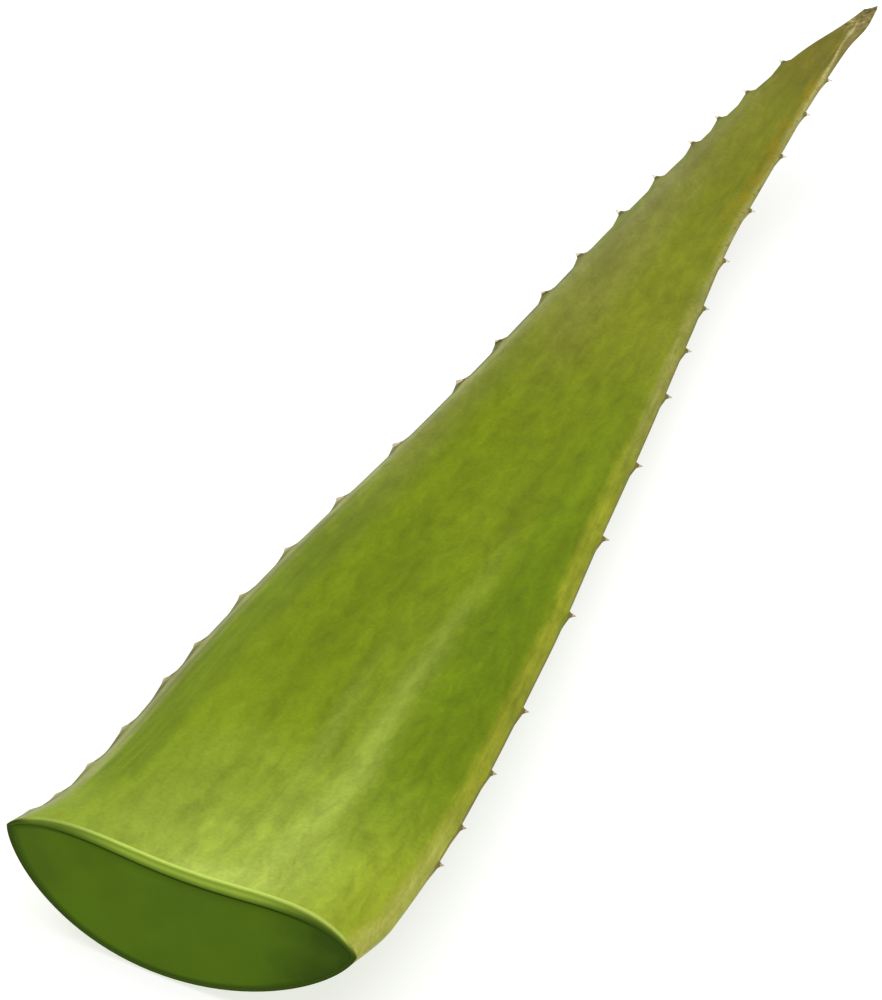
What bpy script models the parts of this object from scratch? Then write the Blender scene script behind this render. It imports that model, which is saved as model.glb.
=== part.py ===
"""A leaf of aloe vera, cut from its plant and laid on its rounded back.

The leaf points along +Y with its cut end at -Y, and its broad channelled face looks up. Two bodies
make it: the green rind, with the teeth that grow on both of its margins, and the clear gel that
fills the rind and shows at the cut. Everything is worked out at a share s of the leaf's length,
0 at the cut and 1 at the tip, and at a place u across it, -1 on the left margin and +1 on the
right one, as seen from the cut end.
"""

import math
import random

import bmesh
import bpy
from mathutils import Vector

MM = 0.001

# Driving sizes.
LENGTH = 450 * MM
RIND_BELOW = 0.8 * MM
RIND_AT_MARGIN = 0.9 * MM
CLEARANCE = 0.3 * MM
MARGIN_CLEARANCE = 0.45 * MM
GEL_SETBACK = 0.6 * MM
CUTTER_LEAD = 5 * MM

# How each measure runs from the cut to the tip: pairs of the share s and millimetres.
LEFT_MARGIN = (
    (0, -40.4), (0.03, -35.9), (0.08, -34), (0.16, -33), (0.25, -30.9), (0.3, -29.2), (0.36, -26.9),
    (0.5, -21.8), (0.66, -15.7), (0.8, -7.5), (0.88, -2.1), (0.94, 4.5), (1, 16.5),
)
RIGHT_MARGIN = (
    (0, 30.2), (0.03, 33.1), (0.09, 34), (0.26, 31), (0.38, 26.9), (0.5, 23),
    (0.6, 19.5), (0.75, 15.4), (0.86, 16.4), (0.93, 18.2), (0.955, 19.2), (0.98, 21.1), (1, 20.8),
)
UNDERSIDE = ((0, 0.7), (0.1, -0.6), (0.4, -0.6), (0.6, 3.6), (0.75, 11.5), (0.9, 24.5), (1, 38.5))
BELLY = ((0, 20.8), (0.1, 20.4), (0.25, 18.6), (0.45, 15.4), (0.6, 12), (0.75, 8.6), (0.9, 5), (1, 1.2))
CROWN = ((0, 8.2), (0.12, 6.8), (0.3, 4.9), (0.5, 3.2), (0.7, 2.2), (0.85, 1.5), (1, 0.6))
CHANNEL = ((0, 3.1), (0.15, 3.4), (0.35, 3.8), (0.6, 4.2), (0.75, 3.6), (0.9, 2), (1, 0.2))
RIND_ABOVE = ((0, 3), (0.1, 2.6), (0.4, 1.6), (0.7, 1.1))

# How round the section is: powers of its upper and lower outline, lower ones for a fuller shoulder. The
# powers of the upper one, and how much fuller each outline is to the right, run with the share s.
SHOULDER_ROUNDING = ((0, 0.82), (0.12, 0.74), (0.35, 0.6), (0.6, 0.55))
BELLY_ROUNDING = 0.685
CROWN_LEAN = ((0, 0.12), (0.25, 0))
BELLY_LEAN = ((0, -0.07), (0.25, 0))

# The tip is turned about the leaf's own line, right margin up: pairs of the share s and degrees.
ROLL = ((0, 0), (0.74, 0), (0.9, 18), (1, 28))

# The teeth: how far they stand out, how long their foot is, and how far their point leans to the tip.
TOOTH_HEIGHT = 1.7 * MM
TOOTH_FOOT = 7 * MM
TOOTH_THICKNESS = 2.0 * MM
TOOTH_ROOT = 1.8 * MM
TOOTH_LEAN = 1.6 * MM
FULL_TOOTH_BELLY = 5
TIP_SPINE = 2.6 * MM
TIP_SPINE_SLIMNESS = 0.25
TIP_SPINE_PLACE = 0.7

# How far apart the teeth of each margin stand: pairs of the share s and millimetres.
LEFT_SPACING = ((0, 10), (0.15, 21), (0.38, 31), (0.6, 26), (0.9, 16))
RIGHT_SPACING = ((0, 2), (0.2, 32), (0.36, 40), (0.55, 25), (0.9, 24))
LEFT_ROW = {"side": -1, "first": 3 * MM, "spacing": LEFT_SPACING, "jitter": 0.15, "seed": 10182}
RIGHT_ROW = {"side": 1, "first": 35 * MM, "spacing": RIGHT_SPACING, "jitter": 0.2, "seed": 36744}
LAST_TOOTH = 0.93

# How finely the bodies are faceted, how much closer their stations stand at the ends, and where the
# gel ends: past that share the leaf is all rind.
SKIN_STATIONS = 46
SKIN_SIDES = 36
GEL_STATIONS = 22
GEL_SIDES = 24
CROWDING = 0.45
GEL_END = 0.7
SHORT_STEP = 0.01
SHARP_EDGE = 35


def measure(curve, s):
    """The value of a curve of (share, value) pairs at s, run smoothly through the pairs with no overshoot."""
    s = min(max(s, curve[0][0]), curve[-1][0])
    spans = [b[0] - a[0] for a, b in zip(curve, curve[1:])]
    slopes = [(b[1] - a[1]) / span for a, b, span in zip(curve, curve[1:], spans)]
    tangents = [slopes[0]]
    for before, after in zip(slopes, slopes[1:]):
        tangents.append(2 * before * after / (before + after) if before * after > 0 else 0)
    tangents.append(slopes[-1])
    i = max(k for k in range(len(spans)) if s >= curve[k][0])
    t = (s - curve[i][0]) / spans[i]
    start, end = curve[i][1], curve[i + 1][1]
    rise = spans[i] * (tangents[i] * t * (1 - t) ** 2 - tangents[i + 1] * t * t * (1 - t))
    return start + (end - start) * t * t * (3 - 2 * t) + rise


def margin_height(s):
    return (measure(UNDERSIDE, s) + measure(BELLY, s)) * MM


def place(s, across, up):
    """A point of the section at s, across from its middle and up from its margins, turned by the roll there."""
    middle = (measure(LEFT_MARGIN, s) + measure(RIGHT_MARGIN, s)) / 2 * MM
    roll = math.radians(measure(ROLL, s))
    x = middle + across * math.cos(roll) - up * math.sin(roll)
    z = margin_height(s) + across * math.sin(roll) + up * math.cos(roll)
    return Vector((x, s * LENGTH, z))


def half_width(s):
    return (measure(RIGHT_MARGIN, s) - measure(LEFT_MARGIN, s)) / 2 * MM


def section_point(s, turn, above=0.0, below=0.0, at_margin=0.0):
    """A point on the section at s, set in by those amounts. A turn of 0 is the right margin, and it
    passes the upper face first."""
    u = math.cos(turn)
    across = (half_width(s) - at_margin) * u
    if math.sin(turn) >= 0:
        crown = (measure(CROWN, s) * MM - above) * (1 + measure(CROWN_LEAN, s) * u)
        shoulder = (1 - u ** 4) ** measure(SHOULDER_ROUNDING, s) * crown
        up = shoulder - (1 - u * u) ** 2 * measure(CHANNEL, s) * MM
    else:
        belly = (measure(BELLY, s) * MM - below) * (1 + measure(BELLY_LEAN, s) * u)
        up = -((1 - u * u) ** BELLY_ROUNDING) * belly
    return place(s, across, up)


def wall_point(s, turn, gap=0.0, margin_gap=0.0):
    """A point on the inside of the rind, or further in by the gaps."""
    above = measure(RIND_ABOVE, s) * MM
    return section_point(s, turn, above + gap, RIND_BELOW + gap, RIND_AT_MARGIN + margin_gap)


def gel_point(s, turn):
    return wall_point(s, turn, CLEARANCE, MARGIN_CLEARANCE)


def loft(name, shares, sides, point=section_point, lead=0.0):
    """A closed body through the points' sections at the given shares, the first one moved out by the lead."""
    mesh = bmesh.new()
    rings = [bmesh.ops.create_circle(mesh, segments=sides, radius=1)["verts"]]
    edges = list(mesh.edges)
    for _ in shares[1:]:
        made = bmesh.ops.extrude_edge_only(mesh, edges=edges)["geom"]
        edges = [item for item in made if isinstance(item, bmesh.types.BMEdge)]
        edges = [edge for edge in edges if all(vert in made for vert in edge.verts)]
        rings.append([item for item in made if isinstance(item, bmesh.types.BMVert)])
    for share, verts in zip(shares, rings):
        for vert in verts:
            turn = math.atan2(vert.co.y, vert.co.x)
            vert.co = point(share, turn)
    for vert in rings[0]:
        vert.co.y -= lead
    bmesh.ops.holes_fill(mesh, edges=[edge for edge in mesh.edges if edge.is_boundary], sides=sides)
    return finish(name, mesh)


def finish(name, mesh):
    """The bmesh, with its faces turned outwards, as an object of that name in the scene."""
    mesh.normal_update()
    bmesh.ops.recalc_face_normals(mesh, faces=mesh.faces)
    data = bpy.data.meshes.new(name)
    mesh.to_mesh(data)
    mesh.free()
    body = bpy.data.objects.new(name, data)
    bpy.context.scene.collection.objects.link(body)
    return body


def shares_to(end, count):
    """Shares from the cut to the end, closer together near both ends where the shape turns fastest."""
    steps = [k / (count - 1) for k in range(count)]
    return [end * (t - CROWDING * math.sin(2 * math.pi * t) / (2 * math.pi)) for t in steps]


def tooth_shares(row):
    """Where the teeth of one margin stand, each moved a little from the row's even run."""
    draw = random.Random(row["seed"])
    along = row["first"]
    while along < LAST_TOOTH * LENGTH:
        spacing = measure(row["spacing"], along / LENGTH) * MM
        yield (along + draw.uniform(-row["jitter"], row["jitter"]) * spacing) / LENGTH
        along += spacing


def spike(foot, outward, forward, height, lean, slim):
    """A four-sided spike that stands on its foot outwards, and whose root is sunk into the leaf behind it."""
    upward = outward.cross(forward)
    mesh = bmesh.new()
    bmesh.ops.create_cone(mesh, segments=4, radius1=1, radius2=0, depth=1, cap_ends=True)
    for vert in mesh.verts:
        at_point = vert.co.z > 0
        reach = height if at_point else -TOOTH_ROOT
        ahead = lean if at_point else vert.co.y * TOOTH_FOOT / 2 * slim
        thick = vert.co.x * TOOTH_THICKNESS / 2 * slim
        vert.co = foot + outward * reach + forward * ahead + upward * thick
    return finish("tooth", mesh)


def tooth(s, side):
    """One tooth of a margin. Its point leans to the tip."""
    turn = 0 if side > 0 else math.pi
    foot = section_point(s, turn)
    forward = (section_point(s + SHORT_STEP, turn) - foot).normalized()
    outward = forward.cross(Vector((0, 0, 1))).normalized() * side
    slim = min(1.0, measure(BELLY, s) / FULL_TOOTH_BELLY)
    return spike(foot, outward, forward, TOOTH_HEIGHT, TOOTH_LEAN, slim)


def tip_spine():
    """The spine that the leaf ends in."""
    left, right = section_point(1, math.pi), section_point(1, 0)
    foot = left.lerp(right, TIP_SPINE_PLACE)
    outward = (place(1, 0, 0) - place(1 - SHORT_STEP, 0, 0)).normalized()
    return spike(foot, outward, (right - left).normalized(), TIP_SPINE, 0, TIP_SPINE_SLIMNESS)


def boolean(body, operation, solver="EXACT", other=None, group=None):
    """Applies one Boolean to the body, with one object or with a collection."""
    cut = body.modifiers.new(operation.lower(), "BOOLEAN")
    cut.operation = operation
    cut.solver = solver
    if group:
        cut.operand_type = "COLLECTION"
        cut.collection = group
    else:
        cut.object = other
    graph = bpy.context.evaluated_depsgraph_get()
    data = bpy.data.meshes.new_from_object(body.evaluated_get(graph))
    body.modifiers.clear()
    body.data = data


def flatten_rest(body):
    """Cuts the belly off level with the surface that it lies on, which leaves a small flat spot."""
    mesh = bmesh.new()
    mesh.from_mesh(body.data)
    geometry = list(mesh.verts) + list(mesh.edges) + list(mesh.faces)
    bmesh.ops.bisect_plane(mesh, geom=geometry, plane_co=(0, 0, 0), plane_no=(0, 0, 1), clear_inner=True)
    rim = [edge for edge in mesh.edges if edge.is_boundary]
    bmesh.ops.holes_fill(mesh, edges=rim, sides=len(rim))
    bmesh.ops.recalc_face_normals(mesh, faces=mesh.faces)
    mesh.to_mesh(body.data)
    mesh.free()


def grow_teeth(body):
    """Joins both rows of teeth to the body in one union."""
    group = bpy.data.collections.new("teeth")
    bpy.context.scene.collection.children.link(group)
    made = [tooth(s, row["side"]) for row in (LEFT_ROW, RIGHT_ROW) for s in tooth_shares(row)]
    made.append(tip_spine())
    for one in made:
        bpy.context.scene.collection.objects.unlink(one)
        group.objects.link(one)
    boolean(body, "UNION", solver="MANIFOLD", group=group)
    for one in made:
        bpy.data.objects.remove(one)
    bpy.data.collections.remove(group)


def make_rind():
    """The green rind: the leaf's outer body with its teeth, hollowed from the cut to near the tip."""
    body = loft("rind", shares_to(1, SKIN_STATIONS), SKIN_SIDES)
    flatten_rest(body)
    grow_teeth(body)
    shares = [0] + shares_to(GEL_END, GEL_STATIONS)
    hollow = loft("hollow", shares, GEL_SIDES, wall_point, lead=CUTTER_LEAD)
    boolean(body, "DIFFERENCE", other=hollow)
    bpy.data.objects.remove(hollow)
    return body


def make_gel():
    """The gel: the hollow's form, a clearance smaller all round, set back a little from the cut."""
    shares = shares_to(GEL_END, GEL_STATIONS)
    shares[0] += GEL_SETBACK / LENGTH
    shares[-1] -= CLEARANCE / LENGTH
    return loft("gel", shares, GEL_SIDES, gel_point)


def paint(body, colour, roughness):
    """Gives the body its own material."""
    material = bpy.data.materials.new(body.name)
    material.use_nodes = True
    shader = material.node_tree.nodes["Principled BSDF"]
    shader.inputs["Base Color"].default_value = (*colour, 1)
    shader.inputs["Roughness"].default_value = roughness
    shader.inputs["Metallic"].default_value = 0
    body.data.materials.clear()
    body.data.materials.append(material)


def centre(bodies, whole):
    """Stands the leaf on the origin: the middle of its footprint at X and Y 0, and its flat spot at Z 0."""
    low, high = Vector(whole.bound_box[0]), Vector(whole.bound_box[6])
    for body in bodies:
        body.location = (-(low.x + high.x) / 2, -(low.y + high.y) / 2, -low.z)


for old in list(bpy.data.objects):
    bpy.data.objects.remove(old)

rind = make_rind()
gel = make_gel()
paint(rind, (0.215, 0.29, 0.02), 0.42)
paint(gel, (0.075, 0.14, 0.012), 0.25)
for made in (rind, gel):
    made.data.shade_smooth()
    made.data.set_sharp_from_angle(angle=math.radians(SHARP_EDGE))
centre((rind, gel), rind)
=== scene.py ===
import math
import random

import bmesh
import bpy
from mathutils import Matrix, Vector


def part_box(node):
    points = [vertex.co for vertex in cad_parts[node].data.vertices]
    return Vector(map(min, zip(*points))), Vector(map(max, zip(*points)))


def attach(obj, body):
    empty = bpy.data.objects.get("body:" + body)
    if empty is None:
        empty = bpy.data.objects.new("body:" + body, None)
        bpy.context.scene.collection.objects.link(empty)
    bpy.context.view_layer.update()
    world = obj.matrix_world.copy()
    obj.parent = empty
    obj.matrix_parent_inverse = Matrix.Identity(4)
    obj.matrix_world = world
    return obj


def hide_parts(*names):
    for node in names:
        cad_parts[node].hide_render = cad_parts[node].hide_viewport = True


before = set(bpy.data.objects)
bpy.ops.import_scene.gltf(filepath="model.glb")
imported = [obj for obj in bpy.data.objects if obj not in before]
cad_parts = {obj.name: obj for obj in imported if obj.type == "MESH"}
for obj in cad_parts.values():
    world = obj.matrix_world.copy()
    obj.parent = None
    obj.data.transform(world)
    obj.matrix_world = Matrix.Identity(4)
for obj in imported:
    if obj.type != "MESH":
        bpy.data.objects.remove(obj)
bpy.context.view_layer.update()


# The rind: the green skin of an aloe vera leaf with the thin firm flesh under it, grown in one piece
# from the cut base to the dry spine at the tip. Its upper face is a shallow channel, its underside a
# full keel, and both of its margins carry small horny teeth. A knife has cut it square at the base.

MM = 0.001
LENGTH = 450 * MM
RIND_BELOW = 0.8 * MM
RIND_AT_MARGIN = 0.9 * MM

# How each measure runs from the cut to the tip: pairs of the share of the length and millimetres.
LEFT_MARGIN = (
    (0, -40.4), (0.03, -35.9), (0.08, -34.0), (0.16, -33.0), (0.25, -30.9), (0.3, -29.2), (0.36, -26.9),
    (0.5, -21.8), (0.66, -15.7), (0.8, -7.5), (0.88, -2.1), (0.94, 4.5), (1, 16.5),
)
RIGHT_MARGIN = (
    (0, 30.2), (0.03, 33.1), (0.09, 34.0), (0.26, 31.0), (0.38, 26.9), (0.5, 23.0),
    (0.6, 19.5), (0.75, 15.4), (0.86, 16.4), (0.93, 18.2), (0.955, 19.2), (0.98, 21.1), (1, 20.8),
)
UNDERSIDE = ((0, 0.7), (0.1, -0.6), (0.4, -0.6), (0.6, 3.6), (0.75, 11.5), (0.9, 24.5), (1, 38.5))
BELLY = ((0, 20.8), (0.1, 20.4), (0.25, 18.6), (0.45, 15.4), (0.6, 12), (0.75, 8.6), (0.9, 5), (1, 1.2))
CROWN = ((0, 8.2), (0.12, 6.8), (0.3, 4.9), (0.5, 3.2), (0.7, 2.2), (0.85, 1.5), (1, 0.6))
CHANNEL = ((0, 3.1), (0.15, 3.4), (0.35, 3.8), (0.6, 4.2), (0.75, 3.6), (0.9, 2), (1, 0.2))
ROLL = ((0, 0), (0.74, 0), (0.9, 18), (1, 28))
RIND_ABOVE = ((0, 3.0), (0.1, 2.6), (0.4, 1.6), (0.7, 1.1))
# How round the section is, as powers, and how much fuller it is to the right: pairs of the share of
# the length and a number.
SHOULDER_ROUNDING = ((0, 0.82), (0.12, 0.74), (0.35, 0.6), (0.6, 0.55))
BELLY_ROUNDING = 0.685
CROWN_LEAN = ((0, 0.12), (0.25, 0))
BELLY_LEAN = ((0, -0.07), (0.25, 0))

# The teeth of the left margin, -1, and of the right one, 1: how high the green foot and the horny spine
# on it stand, and how far the foot reaches to the cut and to the tip, in pairs of the share of the
# length and millimetres.
FOOT_HEIGHT = {
    -1: ((0, 0.2), (0.02, 0.7), (0.25, 1.0), (0.4, 1.3), (0.7, 1.4), (0.9, 1.4), (1, 0.6)),
    1: ((0, 0.3), (0.4, 0.8), (1, 0.6)),
}
FOOT_TO_CUT = {
    -1: ((0, 9), (0.22, 8), (0.34, 6.5), (0.6, 6.5), (0.7, 8), (1, 8.5)),
    1: ((0, 6), (1, 5)),
}
FOOT_TO_TIP = {
    -1: ((0, 5), (0.24, 4.5), (0.4, 4), (0.62, 3.6), (0.75, 2.3), (1, 2.2)),
    1: ((0, 1.8), (1, 1.2)),
}
FOOT_THICKNESS = 1.8 * MM
SPINE_HEIGHT = {
    -1: ((0, 0.2), (0.25, 0.3), (0.6, 0.5), (0.7, 1.3), (1, 1.3)),
    1: ((0, 0.7), (0.4, 1.1), (1, 1)),
}
SPINE_REACH = {
    -1: ((0, 1.4), (0.6, 1.2), (0.75, 0.75), (1, 0.7)),
    1: ((0, 0.55), (1, 0.55)),
}
# How hollow the flanks of the foot are and how full those of the spine, as powers.
FOOT_FLANK = 1.2
SPINE_FLANK = 0.75
# How far a tooth's point stands past its place in the row, and how far it hooks towards the tip.
TOOTH_POINT = 1.4 * MM
TOOTH_HOOK = 0.4 * MM
# How far apart the teeth of each margin stand, in pairs of the share of the length and millimetres.
LEFT_SPACING = ((0, 10), (0.15, 21), (0.38, 31), (0.6, 26), (0.9, 16))
RIGHT_SPACING = ((0, 2), (0.2, 32), (0.36, 40), (0.55, 25), (0.9, 24))
LEFT_ROW = {"side": -1, "first": 3 * MM, "spacing": LEFT_SPACING, "jitter": 0.15, "seed": 10182}
RIGHT_ROW = {"side": 1, "first": 35 * MM, "spacing": RIGHT_SPACING, "jitter": 0.2, "seed": 36744}
LAST_TOOTH = 0.93

# How finely the skin is divided: round the section, along the leaf, and in millimetres from the cut
# and from each tooth.
SIDES = 96
STATION = 3 * MM
CUT_STATIONS = (0.6, 1.2, 2)
TOOTH_STATIONS = (
    -6, -4.5, -3.2, -2.2, -1.3, -0.6, 0, 0.4, 0.75, 1.0, 1.2, 1.4, 1.6, 1.8, 2.05, 2.4, 2.8, 3.3, 4,
)
CLOSEST_STATIONS = 0.14 * MM
# The rind's inner wall ends where the gel does, and its rings crowd towards the cut by this power.
WALL_END = 0.7
WALL_STATIONS = 12
WALL_CROWDING = 1.6
# The cut through the rind, from its inner corner to its outer one: how far across the rind's
# thickness each line of it lies, and how far in from the cut's plane.
CUT_PROFILE = (
    (1, 0.5), (0.97, 0.16), (0.93, 0.04), (0.85, 0.0), (0.7, 0.0), (0.6, 0.03), (0.45, 0.14),
    (0.33, 0.24), (0.25, 0.2), (0.16, 0.04), (0.08, 0.0), (0.03, 0.05), (0, 0.2),
)
# How deep the grooves of the cut are on most of it, as a share, and where they deepen towards the
# middle of the upper face, in the sine of the turn.
FAINT_GROOVE = 0.04
GROOVE_START = 0.55
GROOVE_RISE = 0.4
# The spine at the tip: how far out each line of it lies, in millimetres, and how much is left of the
# leaf's width. It stands at this share of the way from the left margin, where a blunt second point is.
SPINE_PROFILE = ((0.5, 0.86), (1.0, 0.66), (1.4, 0.42), (1.8, 0.24), (2.2, 0.13), (2.5, 0.05))
SPINE_PLACE = 0.78
SECOND_POINT = 1.1 * MM
SECOND_POINT_REACH = 1.1 * MM
# What the rings of the wall and of the cut carry as their distance from the margin, in millimetres.
WELL_INSIDE = 9
# How far off a second point is taken, as a share of the length, to find which way the leaf runs.
NEARBY = 0.01


def measure(curve, s):
    """The value at s of a curve that runs smoothly through (share, value) pairs with no overshoot."""
    s = min(max(s, curve[0][0]), curve[-1][0])
    spans = [b[0] - a[0] for a, b in zip(curve, curve[1:])]
    slopes = [(b[1] - a[1]) / span for a, b, span in zip(curve, curve[1:], spans)]
    tangents = [slopes[0]]
    for before, after in zip(slopes, slopes[1:]):
        tangents.append(2 * before * after / (before + after) if before * after > 0 else 0)
    tangents.append(slopes[-1])
    i = max(k for k in range(len(spans)) if s >= curve[k][0])
    t = (s - curve[i][0]) / spans[i]
    start, end = curve[i][1], curve[i + 1][1]
    rise = spans[i] * (tangents[i] * t * (1 - t) ** 2 - tangents[i + 1] * t * t * (1 - t))
    return start + (end - start) * t * t * (3 - 2 * t) + rise


low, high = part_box("rind")
LEAF_START = Vector((low.x - LEFT_MARGIN[0][1] * MM, low.y, low.z))


def place(s, across, up):
    """A point across from the middle of the section at s and up from its margins, turned by the roll."""
    middle = (measure(LEFT_MARGIN, s) + measure(RIGHT_MARGIN, s)) / 2 * MM
    roll = math.radians(measure(ROLL, s))
    x = middle + across * math.cos(roll) - up * math.sin(roll)
    margin_height = (measure(UNDERSIDE, s) + measure(BELLY, s)) * MM
    z = margin_height + across * math.sin(roll) + up * math.cos(roll)
    return LEAF_START + Vector((x, s * LENGTH, z))


def half_width(s):
    return (measure(RIGHT_MARGIN, s) - measure(LEFT_MARGIN, s)) / 2 * MM


def section_point(s, turn, above=0.0, below=0.0, at_margin=0.0):
    """A point on the section at s, set in by those amounts. A turn of 0 is the right margin, and a half
    turn, over the upper face, is the left one."""
    u = math.cos(turn)
    across = (half_width(s) - at_margin) * u
    if math.sin(turn) >= 0:
        crown = (measure(CROWN, s) * MM - above) * (1 + measure(CROWN_LEAN, s) * u)
        dip = (1 - u * u) ** 2 * measure(CHANNEL, s) * MM
        up = (1 - u**4) ** measure(SHOULDER_ROUNDING, s) * crown - dip
    else:
        belly = (measure(BELLY, s) * MM - below) * (1 + measure(BELLY_LEAN, s) * u)
        up = -((1 - u * u) ** BELLY_ROUNDING) * belly
    return place(s, across, up)


def wall_point(s, turn, gap=0.0):
    """A point on the inside of the rind, or a gap further in."""
    above = measure(RIND_ABOVE, s) * MM + gap
    return section_point(s, turn, above, RIND_BELOW + gap, RIND_AT_MARGIN + gap)


def tooth_shares(row):
    """Where the teeth of one margin stand, each moved a little from the row's even run."""
    draw = random.Random(row["seed"])
    along = row["first"]
    while along < LAST_TOOTH * LENGTH:
        spacing = measure(row["spacing"], along / LENGTH) * MM
        yield (along + draw.uniform(-row["jitter"], row["jitter"]) * spacing) / LENGTH
        along += spacing


TEETH = {row["side"]: list(tooth_shares(row)) for row in (LEFT_ROW, RIGHT_ROW)}


def skin_shares():
    """The stations of the skin: an even run, with more of them at each tooth."""
    even = [k * STATION for k in range(1, int(LENGTH / STATION))]
    near_cut = [step * MM for step in CUT_STATIONS]
    teeth = [s * LENGTH for row in TEETH.values() for s in row]
    at_teeth = [along + step * MM for along in teeth for step in TOOTH_STATIONS]
    wanted = sorted(even + near_cut + at_teeth)
    kept = []
    for along in wanted:
        far_enough = not kept or along - kept[-1] > CLOSEST_STATIONS
        if far_enough and CLOSEST_STATIONS < along < LENGTH - CLOSEST_STATIONS:
            kept.append(along)
    return [along / LENGTH for along in kept] + [1.0]


def tooth_shares_at(s, side, depth):
    """How much of a tooth's foot and of its spine stands at s on that side, so far behind the margin."""
    foot = spine = 0.0
    for tooth in TEETH[side]:
        ahead = (s - tooth) * LENGTH - TOOTH_POINT
        reach = measure((FOOT_TO_TIP if ahead > 0 else FOOT_TO_CUT)[side], s) * MM
        foot = max(foot, 1 - math.hypot(ahead / reach, depth / FOOT_THICKNESS))
        spine = max(spine, 1 - math.hypot(ahead, depth) / (measure(SPINE_REACH[side], s) * MM))
    return foot**FOOT_FLANK, spine**SPINE_FLANK


def skin_vertex(s, turn):
    """A point of the finished skin, its distance from its margin in millimetres, and what it is of a
    tooth: up to 1 on the foot, and from there up to 2 on the spine."""
    point = section_point(s, turn)
    side = 1 if math.cos(turn) > 0 else -1
    margin_turn = 0 if side > 0 else math.pi
    margin = section_point(s, margin_turn)
    depth = (point - margin).length
    foot, spine = tooth_shares_at(s, side, depth) if depth < FOOT_THICKNESS else (0.0, 0.0)
    if foot > 0:
        ahead = section_point(s + NEARBY, margin_turn)
        forward = (ahead - section_point(s - NEARBY, margin_turn)).normalized()
        outward = forward.cross(Vector((0, 0, 1))).normalized() * side
        rise = foot * measure(FOOT_HEIGHT[side], s) + spine * measure(SPINE_HEIGHT[side], s)
        point = point + outward * rise * MM + forward * spine * TOOTH_HOOK
    return point, depth / MM, foot + spine


def groove(turn):
    """How deep the cut's grooves are at that turn: whole in the middle of the upper face, else faint."""
    share = min(max((math.sin(turn) - GROOVE_START) / GROOVE_RISE, 0), 1)
    return FAINT_GROOVE + (1 - FAINT_GROOVE) * share * share * (3 - 2 * share)


def skin_rings():
    """Every ring of the rind from the inner end of its wall, over the cut, to the spine. Each is a list
    of (point, place on the leaf, kind) for the turns round it."""
    turns = [2 * math.pi * k / SIDES for k in range(SIDES)]
    face = [1 if 0 < turn < math.pi else -1 for turn in turns]
    rings = []
    for k in range(WALL_STATIONS):
        s = WALL_END * (1 - k / WALL_STATIONS) ** WALL_CROWDING
        ring = []
        for turn in turns:
            ring.append((wall_point(s, turn), (s, math.cos(turn), WELL_INSIDE), (0, 1, 1)))
        rings.append(ring)
    for depth, step in CUT_PROFILE:
        ring = []
        for turn, side in zip(turns, face):
            s = step * groove(turn) * MM / LENGTH
            point = section_point(s, turn).lerp(wall_point(s, turn), depth)
            ring.append((point, (s, math.cos(turn), side * WELL_INSIDE), (0, 1, depth)))
        rings.append(ring)
    for s in skin_shares():
        ring = []
        for turn, side in zip(turns, face):
            point, depth, push = skin_vertex(s, turn)
            point.z = min(max(point.z, low.z), high.z)
            ring.append((point, (s, math.cos(turn), side * depth), (push, 0, 0)))
        rings.append(ring)
    left, right = section_point(1, math.pi), section_point(1, 0)
    foot = left.lerp(right, SPINE_PLACE)
    outward = (place(1, 0, 0) - place(1 - NEARBY, 0, 0)).normalized()
    for point, _, _ in rings[-1]:
        away = (point - left).length / SECOND_POINT_REACH
        point += outward * SECOND_POINT * math.exp(-(away**2))
    for out, left_over in SPINE_PROFILE:
        ring = []
        for turn, side in zip(turns, face):
            edge = section_point(1, turn)
            point = foot + outward * out * MM + (edge - foot) * left_over
            point.z = min(point.z, high.z)
            ring.append((point, (1 + out * MM / LENGTH, math.cos(turn), side), (1, 0, 0)))
        rings.append(ring)
    return rings


def lofted(name, rings):
    """A closed body through the rings, each extruded to the next, with their places written on it."""
    mesh = bmesh.new()
    on_leaf = mesh.verts.layers.float_vector.new("leaf_place")
    kind = mesh.verts.layers.float_vector.new("leaf_kind")
    made = [bmesh.ops.create_circle(mesh, segments=len(rings[0]), radius=1)["verts"]]
    edges = list(mesh.edges)
    for _ in rings[1:]:
        new = bmesh.ops.extrude_edge_only(mesh, edges=edges)["geom"]
        verts = [item for item in new if isinstance(item, bmesh.types.BMVert)]
        edges = [item for item in new if isinstance(item, bmesh.types.BMEdge)]
        edges = [edge for edge in edges if all(vert in new for vert in edge.verts)]
        made.append(verts)
    for verts, ring in zip(made, rings):
        for vert in verts:
            k = round(math.atan2(vert.co.y, vert.co.x) / (2 * math.pi) * len(ring)) % len(ring)
            vert.co, vert[on_leaf], vert[kind] = ring[k]
    ends = [edge for edge in mesh.edges if edge.is_boundary]
    bmesh.ops.holes_fill(mesh, edges=ends, sides=len(rings[0]))
    mesh.normal_update()
    bmesh.ops.recalc_face_normals(mesh, faces=mesh.faces)
    for polygon in mesh.faces:
        polygon.smooth = True
    data = bpy.data.meshes.new(name)
    mesh.to_mesh(data)
    mesh.free()
    piece = bpy.data.objects.new(name, data)
    bpy.context.scene.collection.objects.link(piece)
    return piece


rind = lofted("leaf_rind", skin_rings())


def node(tree, kind, inputs=None, **settings):
    """A new node of that kind, with its settings, and its inputs joined to sockets or set to values."""
    new = tree.nodes.new("ShaderNode" + kind)
    for key, value in settings.items():
        setattr(new, key, value)
    for key, value in (inputs or {}).items():
        if isinstance(value, bpy.types.NodeSocket):
            tree.links.new(value, new.inputs[key])
        else:
            new.inputs[key].default_value = value
    return new


def maths(tree, operation, first, second=0.0, third=0.0):
    inputs = {0: first, 1: second}
    if operation == "MULTIPLY_ADD":
        inputs[2] = third
    return node(tree, "Math", inputs, operation=operation).outputs[0]


def times(tree, *values):
    """All of the values multiplied together."""
    product = values[0]
    for value in values[1:]:
        product = maths(tree, "MULTIPLY", product, value)
    return product


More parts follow.
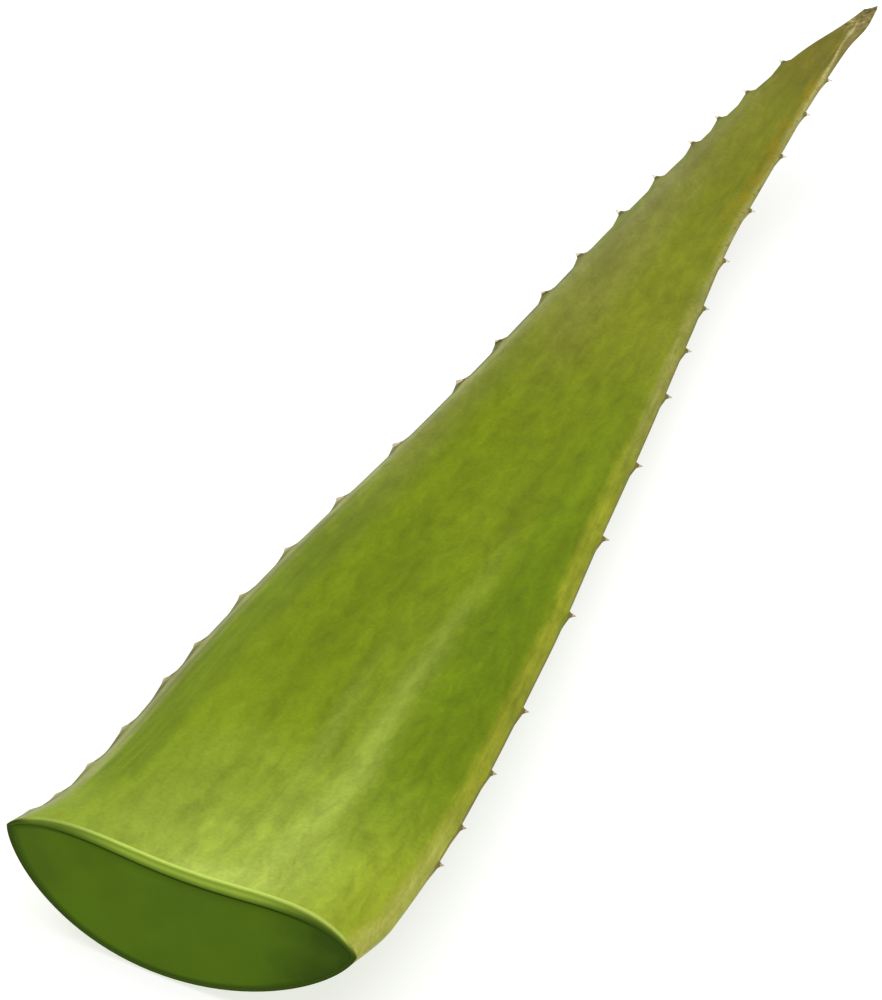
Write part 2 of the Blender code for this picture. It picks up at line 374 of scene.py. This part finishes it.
def swing(tree, value, amount, middle=1.0):
    """A noise value round 0.5, turned into one that swings by that amount round the middle."""
    return maths(tree, "MULTIPLY_ADD", maths(tree, "SUBTRACT", value, 0.5), amount, middle)


def rising(tree, value, start, end):
    """0 up to the start and 1 from the end on, rising smoothly between; start over end makes it fall."""
    inputs = {"Value": value, "From Min": start, "From Max": end, "To Min": 0.0, "To Max": 1.0}
    if start > end:
        inputs.update({"From Min": end, "From Max": start, "To Min": 1.0, "To Max": 0.0})
    return node(tree, "MapRange", inputs, interpolation_type="SMOOTHSTEP").outputs["Result"]


def near(tree, value, centre, reach):
    """1 where the value is at the centre, falling smoothly to 0 at the reach on both sides of it."""
    off = maths(tree, "ABSOLUTE", maths(tree, "SUBTRACT", value, centre))
    return rising(tree, off, reach, 0.0)


def between(tree, value, window):
    """1 inside a window of four values, rising over the first two of them, falling over the last two."""
    start, full, ease, end = window
    return times(tree, rising(tree, value, start, full), rising(tree, value, end, ease))


def noise(tree, vector, scale, detail=3.0, roughness=0.5, distortion=0.0):
    inputs = {
        "Vector": vector,
        "Scale": scale,
        "Detail": detail,
        "Roughness": roughness,
        "Distortion": distortion,
    }
    return node(tree, "TexNoise", inputs).outputs["Fac"]


def clamped(tree, value):
    return node(tree, "Clamp", {"Value": value}).outputs[0]


def tinted(tree, under, share, colour):
    """The colour under it, with another laid over it in that share."""
    over = colour if isinstance(colour, bpy.types.NodeSocket) else (*colour, 1.0)
    return node(tree, "Mix", {0: share, 6: under, 7: over}, data_type="RGBA").outputs[2]


def lightened(tree, colour, value):
    return node(tree, "HueSaturation", {"Value": value, "Color": colour}).outputs["Color"]


def stretched(tree, vector, scale, offset=0.0):
    """The vector scaled along each axis, so that a noise over it runs lengthwise, and moved off."""
    inputs = {"Vector": vector, "Scale": scale, "Location": (offset, offset, offset)}
    return node(tree, "Mapping", inputs).outputs["Vector"]


def plant_fibre():
    """Soft streaks and fine fibres that run along the first axis of a place: two values round 0.5."""
    tree = bpy.data.node_groups.new("plant_fibre", "ShaderNodeTree")
    tree.interface.new_socket("Place", in_out="INPUT", socket_type="NodeSocketVector")
    tree.interface.new_socket("Streaks", in_out="OUTPUT", socket_type="NodeSocketFloat")
    tree.interface.new_socket("Fibres", in_out="OUTPUT", socket_type="NodeSocketFloat")
    entry = tree.nodes.new("NodeGroupInput").outputs["Place"]
    ending = tree.nodes.new("NodeGroupOutput")
    streaks = noise(tree, stretched(tree, entry, (3.0, 5.0, 0.0)), 1.0, 3.0, 0.5, 0.4)
    fibres = noise(tree, stretched(tree, entry, (8.0, 55.0, 0.0), 3.0), 1.0, 2.0, 0.6)
    tree.links.new(streaks, ending.inputs["Streaks"])
    tree.links.new(fibres, ending.inputs["Fibres"])
    return tree


FIBRE = plant_fibre()


def new_material(name, roughness, gloss):
    """A material with its shader's plain values set, and its tree and shader to build on."""
    material = bpy.data.materials.new(name)
    material.use_nodes = True
    tree = material.node_tree
    shader = tree.nodes["Principled BSDF"]
    shader.inputs["Roughness"].default_value = roughness
    shader.inputs["Specular IOR Level"].default_value = gloss
    shader.inputs["Metallic"].default_value = 0.0
    return material, tree, shader


def colour_run(tree, value, stops, run="EASE"):
    """A colour that runs through the stops, pairs of a place from 0 to 1 and a colour."""
    new = node(tree, "ValToRGB", {"Fac": value})
    ramp = new.color_ramp
    ramp.interpolation = run
    while len(ramp.elements) < len(stops):
        ramp.elements.new(0.5)
    for element, (at, colour) in zip(ramp.elements, stops):
        element.position = at
        element.color = (*colour, 1.0)
    return new.outputs["Color"]


# Soft patches of the upper face, some of its own tone and some painted light (painted highlight, painted
# shade and painted sheen, marked below): where they lie along and across the leaf, how far they reach,
# what colour they are and how strong.
TONE_AND_PAINTED_LIGHT_PATCHES = (
    {"at": (0.0, 0.2), "reach": (0.135, 1.6), "colour": (0.36, 0.46, 0.06), "share": 0.85},
    # painted highlight along the lip of the cut
    {"at": (-0.01, 0.15), "reach": (0.035, 0.4), "colour": (0.5, 0.62, 0.11), "share": 0.8},
    # pale streaks of the base: painted highlight
    {"at": (0.07, 0.34), "reach": (0.26, 0.24), "colour": (0.41, 0.50, 0.08), "share": 0.42},
    {"at": (0.14, 0.08), "reach": (0.16, 0.12), "colour": (0.34, 0.43, 0.07), "share": 0.3},
    {"at": (0.06, -0.72), "reach": (0.09, 0.25), "colour": (0.18, 0.26, 0.008), "share": 0.5},
    # darker patches right and left of the middle: painted shade
    {"at": (0.3, 0.7), "reach": (0.27, 0.36), "colour": (0.135, 0.205, 0.003), "share": 0.7},
    {"at": (0.27, -0.2), "reach": (0.15, 0.5), "colour": (0.14, 0.20, 0.004), "share": 0.42},
    # grey-olive towards the left margin: painted sheen
    {"at": (0.7, -0.5), "reach": (0.26, 0.6), "colour": (0.235, 0.235, 0.045), "share": 0.8},
    {"at": (0.4, -0.85), "reach": (0.35, 0.3), "colour": (0.22, 0.235, 0.05), "share": 0.5},
    # the leaf's own yellow-olive tone by the right margin
    {"at": (0.62, 0.8), "reach": (0.3, 0.3), "colour": (0.26, 0.28, 0.02), "share": 0.35},
    {"at": (0.03, 0.85), "reach": (0.1, 0.35), "colour": (0.36, 0.42, 0.015), "share": 0.5},
    # grey towards the left margin near the tip: painted sheen
    {"at": (0.76, -0.85), "reach": (0.2, 0.4), "colour": (0.235, 0.24, 0.095), "share": 0.65},
)

# Bands that run along the margins, some of their own colour and some painted light as marked, painted in
# this order:
# the side, the windows along the leaf and in from the margin in millimetres, the colour and how strong
# it is.
MARGIN_BANDS_AND_PAINTED_LIGHT = (
    {"side": 1, "along": (-1, 0, 0.4, 0.55), "in": (0, 0.5, 3.2, 5.5),
     "colour": (0.32, 0.34, 0.022), "share": 0.8},
    {"side": 1, "along": (0.4, 0.55, 0.6, 0.7), "in": (0, 0.5, 2, 4.5),
     "colour": (0.34, 0.335, 0.075), "share": 0.8},
    {"side": 1, "along": (0.6, 0.68, 0.9, 0.94), "in": (-1, 0, 0.9, 2.6),
     "colour": (0.38, 0.36, 0.12), "share": 0.8},
    {"side": 1, "along": (-1, 0, 0.06, 0.14), "in": (-5, -3, 2.2, 5),
     "colour": (0.45, 0.46, 0.09), "share": 0.75},
    {"side": -1, "along": (0.02, 0.06, 0.25, 0.4), "in": (3.4, 5, 8.5, 13),
     "colour": (0.14, 0.2, 0.01), "share": 0.8},
    # pale grey band at the base of the left margin: painted sheen
    {"side": -1, "along": (-1, 0, 0.08, 0.18), "in": (0.3, 1, 2.7, 5),
     "colour": (0.31, 0.325, 0.12), "share": 0.8},
    # grey band along the left margin: painted sheen
    {"side": -1, "along": (0.08, 0.16, 0.55, 0.8), "in": (0, 0.5, 1.5, 5),
     "colour": (0.26, 0.27, 0.1), "share": 0.68},
    {"side": -1, "along": (0.05, 0.1, 0.3, 0.45), "in": (2.1, 2.7, 3, 4),
     "colour": (0.16, 0.185, 0.035), "share": 0.5},
    # pale line along the left margin: painted sheen
    {"side": -1, "along": (0.04, 0.1, 0.5, 0.7), "in": (1, 1.5, 1.9, 3),
     "colour": (0.36, 0.38, 0.155), "share": 0.4},
    {"side": -1, "along": (-1, 0, 0.55, 0.7), "in": (-1, 0, 0.8, 1.5),
     "colour": (0.14, 0.13, 0.04), "share": 0.85},
    # thin dark brown line at the right edge: painted shade
    {"side": 1, "along": (0.05, 0.1, 0.66, 0.74), "in": (-1, 0, 0.3, 0.8),
     "colour": (0.19, 0.15, 0.03), "share": 0.7},
)

# Where the painted fold line, with its cream painted highlight, crosses the upper face towards the tip:
# pairs of the share of the length and how far in it lies from the right margin, as a share of the leaf's
# width.
FOLD = ((0.84, 0.015), (0.9, 0.035), (0.935, 0.09), (0.95, 0.16), (0.965, 0.26), (0.985, 0.5))


def tooth_colours(tree, along, across):
    """The colours of a tooth's green foot and of its horny spine, which change along the leaf."""
    foot = colour_run(tree, along, (
        (0.0, (0.3, 0.31, 0.12)), (0.25, (0.27, 0.255, 0.09)), (0.42, (0.2, 0.18, 0.05)),
        (0.53, (0.065, 0.062, 0.013)), (0.66, (0.13, 0.125, 0.045)), (0.9, (0.15, 0.14, 0.05)),
    ))
    foot = tinted(tree, foot, rising(tree, across, 0.0, 0.2), (0.2, 0.17, 0.05))
    horn = colour_run(tree, along, (
        (0.2, (0.5, 0.42, 0.24)), (0.47, (0.56, 0.45, 0.33)), (0.75, (0.8, 0.75, 0.55)),
    ))
    return foot, horn


def cut_colour(tree, across, edge, depth, mottle):
    """The cut through the rind in its green flesh, with painted light: a bright outer corner that is a
    painted highlight, a darker line, then flesh that darkens inwards as painted shade towards the gel.
    It darkens sooner towards both margins, and under the leaf and in its corners painted shade makes it
    as dark as the gel."""
    # The outer corner's brightness is painted highlight, and the darkening inwards is painted shade.
    flesh = colour_run(tree, swing(tree, mottle, 0.12, depth), (
        (0.0, (0.57, 0.74, 0.13)), (0.08, (0.5, 0.66, 0.11)), (0.23, (0.26, 0.37, 0.025)),
        (0.31, (0.27, 0.385, 0.028)), (0.52, (0.335, 0.475, 0.052)), (0.75, (0.175, 0.28, 0.02)),
        (0.88, (0.09, 0.16, 0.006)), (1.0, (0.05, 0.105, 0.002)),
    ))
    left_end = colour_run(tree, depth, (
        (0.0, (0.36, 0.47, 0.095)), (0.12, (0.31, 0.42, 0.07)), (0.25, (0.16, 0.24, 0.02)),
        (0.6, (0.105, 0.17, 0.009)), (0.85, (0.06, 0.115, 0.004)), (1.0, (0.04, 0.088, 0.0015)),
    ))
    right_end = colour_run(tree, depth, (
        (0.0, (0.52, 0.65, 0.125)), (0.13, (0.46, 0.58, 0.11)), (0.27, (0.23, 0.32, 0.036)),
        (0.43, (0.115, 0.178, 0.01)), (0.66, (0.06, 0.108, 0.003)), (0.86, (0.04, 0.083, 0.0015)),
        (1.0, (0.033, 0.07, 0.001)),
    ))
    end = tinted(tree, right_end, rising(tree, across, 0.2, -0.2), left_end)
    outwards = maths(tree, "ABSOLUTE", maths(tree, "ADD", across, -0.02))
    flesh = tinted(tree, flesh, rising(tree, outwards, 0.3, 0.78), end)
    # Under the leaf the cut is painted dark, painted shade, darkest at its outer ends.
    below = colour_run(tree, depth, (
        (0.0, (0.032, 0.064, 0.001)), (0.5, (0.04, 0.082, 0.0015)), (1.0, (0.045, 0.09, 0.002)),
    ))
    painted_shade_outer_end = times(tree, rising(tree, outwards, 0.3, 0.8), rising(tree, depth, 1.1, 0.3))
    below = tinted(tree, below, painted_shade_outer_end, (0.03, 0.058, 0.001))
    flesh = tinted(tree, flesh, rising(tree, edge, 1.0, -1.0), below)
    # Painted shade in the cut's corners at both margins.
    painted_shade_corner = times(tree, rising(tree, outwards, 0.88, 0.985), rising(tree, depth, 1.3, 0.2))
    return tinted(tree, flesh, painted_shade_corner, (0.032, 0.062, 0.001))


def skin_material():
    """The waxy skin: olive to yellow green, streaked and mottled, with horny margins and a dry tip, and
    painted highlight, painted shade and painted sheen in its colour.
    """
    material, tree, shader = new_material("aloe_skin", 0.5, 0.06)
    spot = node(tree, "TexCoord").outputs["Object"]
    on_leaf = node(tree, "Attribute", attribute_name="leaf_place").outputs["Vector"]
    kind = node(tree, "Attribute", attribute_name="leaf_kind").outputs["Vector"]
    along, across, edge = node(tree, "SeparateXYZ", {0: on_leaf}).outputs
    tooth, cut, depth = node(tree, "SeparateXYZ", {0: kind}).outputs
    fibre = node(tree, "Group", {"Place": on_leaf}, node_tree=FIBRE).outputs
    upper = rising(tree, edge, -0.3, 0.3)
    wander = noise(tree, spot, 24.0, 2.0)
    broad = noise(tree, stretched(tree, spot, (95.0, 27.0, 95.0)), 1.0, 3.0, 0.5)
    mottle = noise(tree, stretched(tree, spot, (330.0, 100.0, 330.0)), 1.0, 3.5, 0.64, 0.4)
    grain = noise(tree, spot, 1100.0, 2.0, 0.6)
    strand = noise(tree, stretched(tree, on_leaf, (26.0, 0.0, 1.1)), 1.0, 3.0, 0.6)
    wide = swing(tree, wander, 0.22, across)
    long = swing(tree, wander, 0.12, along)

    colour = colour_run(tree, long, (
        (0.0, (0.215, 0.295, 0.014)), (0.2, (0.18, 0.255, 0.006)), (0.45, (0.177, 0.236, 0.005)),
        (0.66, (0.2, 0.232, 0.013)), (0.85, (0.185, 0.195, 0.014)), (0.97, (0.175, 0.16, 0.02)),
    ))
    for patch in TONE_AND_PAINTED_LIGHT_PATCHES:
        lengthwise = near(tree, long, patch["at"][0], patch["reach"][0])
        crosswise = near(tree, wide, patch["at"][1], patch["reach"][1])
        share = times(tree, lengthwise, crosswise, patch["share"], upper)
        colour = tinted(tree, colour, share, patch["colour"])

    # A pale streak at the base, painted highlight, which bends out to the middle of the right half, and
    # a darker band by it, painted shade.
    streak_offset = maths(tree, "ADD", wide, -0.36)
    streak_offset = maths(tree, "MULTIPLY_ADD", rising(tree, along, 0.11, -0.02), 0.13, streak_offset)
    painted_highlight_streak = times(tree, near(tree, streak_offset, 0.0, 0.12), between(tree, along, (-0.1, 0.04, 0.2, 0.4)))
    colour = tinted(tree, colour, times(tree, painted_highlight_streak, 0.3, upper), (0.36, 0.46, 0.075))
    shade_band_length = between(tree, along, (0.02, 0.12, 0.4, 0.65))
    painted_shade_band = times(tree, between(tree, streak_offset, (0.05, 0.17, 0.45, 0.6)), shade_band_length)
    colour = tinted(tree, colour, times(tree, painted_shade_band, 0.3, upper), (0.12, 0.195, 0.003))

    ragged = times(tree, swing(tree, mottle, 0.9), swing(tree, strand, 2.2))
    for band in MARGIN_BANDS_AND_PAINTED_LIGHT:
        side = rising(tree, across, 0.0, 0.2 * band["side"])
        share = times(tree, between(tree, along, band["along"]), between(tree, edge, band["in"]), side)
        share = clamped(tree, times(tree, share, ragged, band["share"]))
        colour = tinted(tree, colour, share, band["colour"])

    # Towards the tip, past a fold line painted across the upper face, painted shade stands for the
    # leaf's far side turning over: dull olive, with a cream painted highlight along the fold line.
    fold = colour_run(tree, along, [(s, (share, share, share)) for s, share in FOLD], "LINEAR")
    past = swing(tree, mottle, 0.1, maths(tree, "SUBTRACT", across, 1.0))
    past = maths(tree, "MULTIPLY_ADD", fold, 2.0, past)
    painted_fold_shade = times(tree, rising(tree, along, 0.85, 0.9), rising(tree, past, 0.0, 0.06), upper)
    colour = tinted(tree, colour, times(tree, painted_fold_shade, 0.8), (0.25, 0.21, 0.07))
    rust_length = between(tree, along, (0.68, 0.8, 0.95, 0.98))
    rust = times(tree, between(tree, past, (-0.5, -0.2, -0.05, 0.02)), rust_length)
    rust = times(tree, rust, rising(tree, mottle, 0.4, 0.6), 0.8, upper)
    colour = tinted(tree, colour, rust, (0.25, 0.19, 0.01))

    # Streaks, blotches, clouds and flecks of light and dark. The streaks and blotches weaken towards
    # the tip, and the blotches on the left of the base too.
    streak_strength = maths(tree, "MULTIPLY_ADD", rising(tree, along, 0.3, 0.6), -0.18, 0.45)
    streak = swing(tree, fibre["Streaks"], streak_strength)
    quiet = times(tree, rising(tree, across, 0.1, -0.5), rising(tree, along, 0.32, 0.12))
    blotch_strength = maths(tree, "MULTIPLY_ADD", along, -0.3, 0.92)
    blotch_strength = maths(tree, "MULTIPLY_ADD", quiet, -0.3, blotch_strength)
    blotch = swing(tree, mottle, blotch_strength)
    cloud = swing(tree, broad, 0.42)
    fleck = swing(tree, grain, 0.3)
    colour = lightened(tree, colour, times(tree, streak, blotch, cloud, fleck))

    # Orange-brown specks, most of them by the right margin towards the tip.
    dots = noise(tree, spot, 600.0, 1.0)
    where = times(tree, rising(tree, wide, 0.45, 0.85), near(tree, along, 0.8, 0.3))
    speck_strength = maths(tree, "MULTIPLY_ADD", where, 0.6, 0.1)
    speck = times(tree, rising(tree, dots, 0.6, 0.74), speck_strength, upper)
    colour = tinted(tree, colour, speck, (0.2, 0.14, 0.015))

    # The teeth: dark where the spine leaves its green foot, horny cream above, with a brown point. The
    # leaf's own tip is dry and brown.
    foot, horn = tooth_colours(tree, along, across)
    on_left = rising(tree, across, 0.0, -0.2)
    all_horn = times(tree, between(tree, along, (0.24, 0.32, 0.47, 0.52)), on_left)
    tooth = times(tree, tooth, maths(tree, "ADD", all_horn, 1.0))
    colour = tinted(tree, colour, between(tree, tooth, (0.35, 0.65, 1.0, 1.2)), foot)
    colour = tinted(tree, colour, rising(tree, tooth, 1.05, 1.25), horn)
    point = times(tree, rising(tree, tooth, 1.65, 1.8), rising(tree, along, 0.62, 0.7))
    colour = tinted(tree, colour, point, (0.09, 0.055, 0.02))
    dry = rising(tree, swing(tree, mottle, 0.04, along), 0.96, 0.99)
    scaly = swing(tree, noise(tree, spot, 480.0, 3.0, 0.7), 2.2, 0.5)
    dead = colour_run(tree, scaly, (
        (0.15, (0.1, 0.08, 0.022)), (0.45, (0.22, 0.178, 0.05)), (0.65, (0.265, 0.22, 0.068)),
        (0.85, (0.45, 0.39, 0.16)),
    ))
    colour = tinted(tree, colour, dry, dead)
    scorched = rising(tree, swing(tree, broad, 0.03, along), 0.984, 1.0)
    scorched = times(tree, scorched, rising(tree, grain, 0.35, 0.55), 0.8)
    colour = tinted(tree, colour, scorched, (0.075, 0.06, 0.02))
    # A cream painted highlight along the painted fold line near the tip, widest in one spot.
    painted_fold_highlight = times(tree, near(tree, past, 0.0, 0.11), between(tree, along, (0.88, 0.92, 0.98, 0.99)))
    painted_fold_highlight = times(tree, painted_fold_highlight, upper, swing(tree, grain, 1.6, 0.62))
    colour = tinted(tree, colour, painted_fold_highlight, (0.56, 0.5, 0.2))
    painted_fold_highlight_spot = times(tree, near(tree, along, 0.969, 0.009), near(tree, past, 0.0, 0.28), upper)
    colour = tinted(tree, colour, times(tree, painted_fold_highlight_spot, 0.8), (0.52, 0.47, 0.22))

    flesh = cut_colour(tree, across, edge, depth, mottle)
    colour = tinted(tree, colour, cut, flesh)
    tree.links.new(colour, shader.inputs["Base Color"])

    tree.links.new(swing(tree, mottle, 0.25, 0.5), shader.inputs["Roughness"])
    relief = maths(tree, "MULTIPLY_ADD", fibre["Fibres"], 0.3, maths(tree, "MULTIPLY", grain, 0.3))
    relief = maths(tree, "MULTIPLY_ADD", mottle, 0.9, relief)
    bump = node(tree, "Bump", {"Height": relief, "Strength": 0.4, "Distance": 0.15 * MM})
    tree.links.new(bump.outputs["Normal"], shader.inputs["Normal"])
    return material


rind.data.materials.append(skin_material())
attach(rind, "root")
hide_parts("rind")


# The gel: the clear wet flesh that fills the rind and shows dark green at the cut. It is grown in one
# piece with the rind, and the knife leaves its face level, a little behind the rind's edge.

GEL_SIDES = 72
GEL_GAP = 0.04 * MM
GEL_SETBACK = 0.3 * MM
GEL_STATIONS = 14
GEL_MIDDLE = -6 * MM
# The cut face, from its middle to its edge: the share of the way out and how far in it lies.
GEL_FACE = (
    (0.06, 0.0), (0.3, 0.03), (0.55, 0.02), (0.75, 0.0), (0.88, 0.02), (0.95, 0.06), (0.985, 0.18),
    (1.0, 0.45),
)


def gel_point(s, turn):
    return wall_point(s, turn, GEL_GAP)


def gel_rings():
    """Every ring of the gel, from the middle of its cut face over the edge to its far end."""
    turns = [2 * math.pi * k / GEL_SIDES for k in range(GEL_SIDES)]
    rings = []
    for share, step in GEL_FACE:
        ring = []
        for turn in turns:
            deep = groove(turn)
            s = (GEL_SETBACK + step * MM) / LENGTH * (1 - share + share * deep)
            point = place(s, 0, GEL_MIDDLE).lerp(gel_point(s, turn), share)
            ring.append((point, (s, share * math.cos(turn), share), (share, deep, 0)))
        rings.append(ring)
    start = 2 * GEL_SETBACK / LENGTH
    end = WALL_END - GEL_SETBACK / LENGTH
    for k in range(1, GEL_STATIONS + 1):
        s = start + (end - start) * (k / GEL_STATIONS) ** WALL_CROWDING
        rings.append([(gel_point(s, turn), (s, math.cos(turn), 1), (1, 0, 0)) for turn in turns])
    return rings


gel = lofted("leaf_gel", gel_rings())


def gel_material():
    """Wet gel flesh: dark green, faintly clouded and streaked, darker to the right, with painted shade
    at its edge and under the rind's upper edge.
    """
    material, tree, shader = new_material("aloe_gel", 0.35, 0.05)
    spot = node(tree, "TexCoord").outputs["Object"]
    kind = node(tree, "Attribute", attribute_name="leaf_kind").outputs["Vector"]
    share, upper, _ = node(tree, "SeparateXYZ", {0: kind}).outputs
    x = node(tree, "SeparateXYZ", {0: spot}).outputs["X"]
    fibre_place = stretched(tree, spot, (12.0, 12.0, 25.0))
    fibre = node(tree, "Group", {"Place": fibre_place}, node_tree=FIBRE).outputs
    cloud = noise(tree, spot, 90.0, 3.0, 0.55)
    colour = colour_run(tree, rising(tree, swing(tree, cloud, 0.03, x), -0.04, 0.035), (
        (0.0, (0.078, 0.148, 0.004)), (0.12, (0.087, 0.164, 0.003)), (0.5, (0.08, 0.152, 0.004)),
        (0.8, (0.076, 0.144, 0.003)), (0.92, (0.054, 0.108, 0.002)), (1.0, (0.03, 0.064, 0.001)),
    ))
    light = times(tree, swing(tree, fibre["Streaks"], 0.3), swing(tree, cloud, 0.45))
    colour = lightened(tree, colour, light)
    # Painted shade along the gel's upper edge under the rind, and a painted dark outline all round its
    # edge.
    painted_shade_under_rind = rising(tree, share, 0.93, 0.99)
    painted_shade_under_rind = maths(tree, "MULTIPLY_ADD", rising(tree, share, 0.68, 0.95), 0.35, painted_shade_under_rind)
    colour = tinted(tree, colour, clamped(tree, times(tree, painted_shade_under_rind, upper)), (0.045, 0.092, 0.001))
    painted_shade_outline = times(tree, rising(tree, share, 0.94, 0.985), 0.6)
    colour = tinted(tree, colour, painted_shade_outline, (0.03, 0.066, 0.001))
    tree.links.new(colour, shader.inputs["Base Color"])
    bump = node(tree, "Bump", {"Height": cloud, "Strength": 0.4, "Distance": 0.2 * MM})
    tree.links.new(bump.outputs["Normal"], shader.inputs["Normal"])
    return material


gel.data.materials.append(gel_material())
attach(gel, "root")
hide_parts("gel")


# The plain pale floor that the leaf lies on.

FLOOR_SIZE = 8.0
floor_mesh = bmesh.new()
bmesh.ops.create_grid(floor_mesh, x_segments=1, y_segments=1, size=FLOOR_SIZE / 2)
floor_data = bpy.data.meshes.new("floor")
floor_mesh.to_mesh(floor_data)
floor_mesh.free()
floor = bpy.data.objects.new("floor", floor_data)
bpy.context.scene.collection.objects.link(floor)
floor_paint, _, floor_shader = new_material("floor_paint", 0.9, 0.1)
floor_shader.inputs["Base Color"].default_value = (0.42, 0.42, 0.415, 1.0)
floor_shader.inputs["Emission Color"].default_value = (1.0, 1.0, 1.0, 1.0)
floor_shader.inputs["Emission Strength"].default_value = 0.7
floor_data.materials.append(floor_paint)


# Soft studio light: one wide lamp high over the leaf, a little to its left, and a dim pale room.

LAMP_SPOT = Vector((-0.4, -0.1, 2.4))
LAMP_AIM = Vector((0, 0.1, 0))
lamp_light = bpy.data.lights.new("overhead", "AREA")
lamp_light.shape = "DISK"
lamp_light.size = 3.6
lamp_light.energy = 62
lamp = bpy.data.objects.new("overhead", lamp_light)
lamp.location = LAMP_SPOT
lamp.rotation_euler = (LAMP_AIM - LAMP_SPOT).to_track_quat("-Z", "Y").to_euler()
bpy.context.scene.collection.objects.link(lamp)

room = bpy.data.worlds.new("room")
room.use_nodes = True
room.node_tree.nodes["Background"].inputs["Color"].default_value = (1.0, 1.0, 1.0, 1.0)
room.node_tree.nodes["Background"].inputs["Strength"].default_value = 0.4
bpy.context.scene.world = room
bpy.context.scene.view_settings.view_transform = "Standard"


# The camera, at the photograph's viewing angle.

AZIMUTH = math.radians(12.24621673)
ELEVATION = math.radians(32.0)
TILT = math.radians(13.09395622)
FROM_LEAF_START = Vector((0.13186964, -0.48655093, 0.43239172))

level = Vector((math.cos(AZIMUTH), math.sin(AZIMUTH), 0))
back = Vector((
    math.sin(AZIMUTH) * math.cos(ELEVATION),
    -math.cos(AZIMUTH) * math.cos(ELEVATION),
    math.sin(ELEVATION),
))
upright = back.cross(level)
sideways = level * math.cos(TILT) + upright * math.sin(TILT)
camera_data = bpy.data.cameras.new("camera")
camera_data.lens = 126
camera_data.sensor_width = 36
camera_data.clip_start = 0.01
camera = bpy.data.objects.new("camera", camera_data)
bpy.context.scene.collection.objects.link(camera)
turned = Matrix((sideways, back.cross(sideways), back)).transposed()
camera.matrix_world = Matrix.Translation(LEAF_START + FROM_LEAF_START) @ turned.to_4x4()
bpy.context.scene.camera = camera
